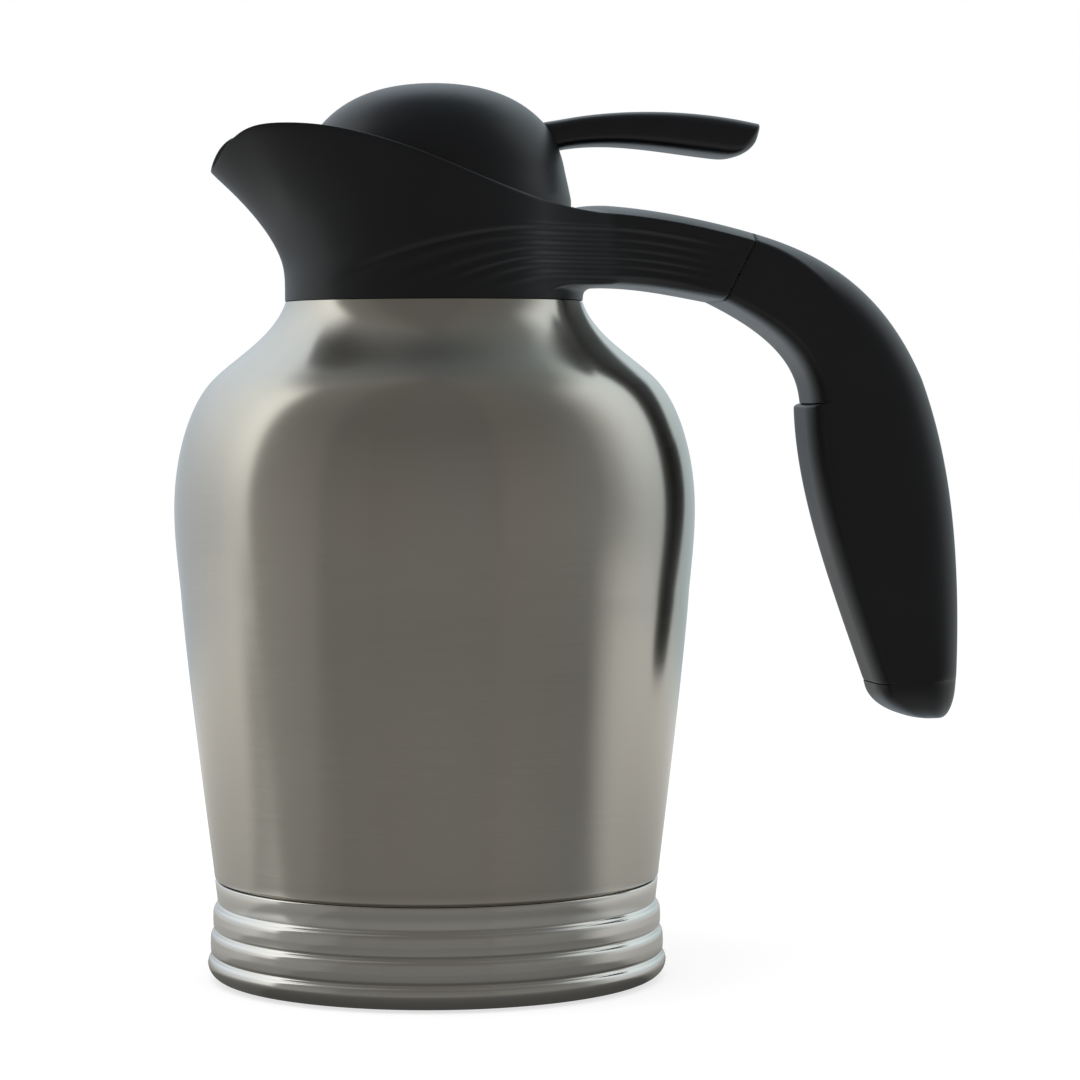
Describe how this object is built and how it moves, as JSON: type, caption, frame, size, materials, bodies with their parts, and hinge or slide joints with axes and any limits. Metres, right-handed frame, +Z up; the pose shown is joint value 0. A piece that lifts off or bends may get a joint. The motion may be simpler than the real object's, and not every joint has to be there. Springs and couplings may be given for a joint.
{
  "type": "thermal carafe",
  "caption": "Double-walled steel carafe with a moulded collar, open spout, hanging handle, lift-out stopper and a domed flip lid worked by a thumb lever.",
  "frame": {"origin": "centre of the foot pad's underside, on the table", "axes": "+Z up along the flask's axis, +X towards the handle, the spout points to -X, +Y is the shortest extent"},
  "size_m": [0.2083, 0.135, 0.2318],
  "materials": {
    "brushed_shell": "brushed round the axis, satin",
    "inner_steel": "electropolished",
    "base_metal": "finely turned, half bright",
    "seal_metal": "plain",
    "screw_steel": "plain",
    "black_moulding": "fine satin grain",
    "grip_cover": "fine satin grain",
    "dark_plastic": "matt",
    "soft_pad": "matt",
    "silicone": "matt",
    "foam": "open foam"
  },
  "bodies": {
    "flask": {"outer_shell": "brushed_shell", "inner_liner": "inner_steel", "shell_bottom": "inner_steel", "vacuum_seal": "seal_metal", "base_ring": "base_metal", "base_plate": "dark_plastic", "foot_pad": "soft_pad", "neck_ring": "dark_plastic", "collar_spout": "black_moulding", "collar_gasket": "silicone", "collar_screws": "screw_steel", "handle_grip": "black_moulding", "grip_insert": "grip_cover", "handle_screws": "screw_steel"},
    "stopper": {"stopper_ring": "dark_plastic", "stopper_gasket": "silicone", "hinge_pin": "screw_steel", "return_spring": "screw_steel"},
    "lid": {"lid_dome": "black_moulding", "lid_plug": "dark_plastic", "lid_foam": "foam", "plug_gasket": "silicone", "thumb_lever": "black_moulding", "lever_screws": "screw_steel", "lid_screws": "screw_steel"}
  },
  "joints": [
    {"name": "stopper_lift", "type": "slide", "parent": "flask", "child": "stopper", "axis": [0, 0, 1], "range_m": [0, 0.07]},
    {"name": "lid_hinge", "type": "hinge", "parent": "stopper", "child": "lid", "pos_m": [0.0285, 0, 0.1995], "axis": [0, 1, 0], "range_deg": [0, 20], "stiffness_Nm_per_rad": 0.08, "springref_deg": -34.38, "deforming": ["return_spring"]}
  ]
}
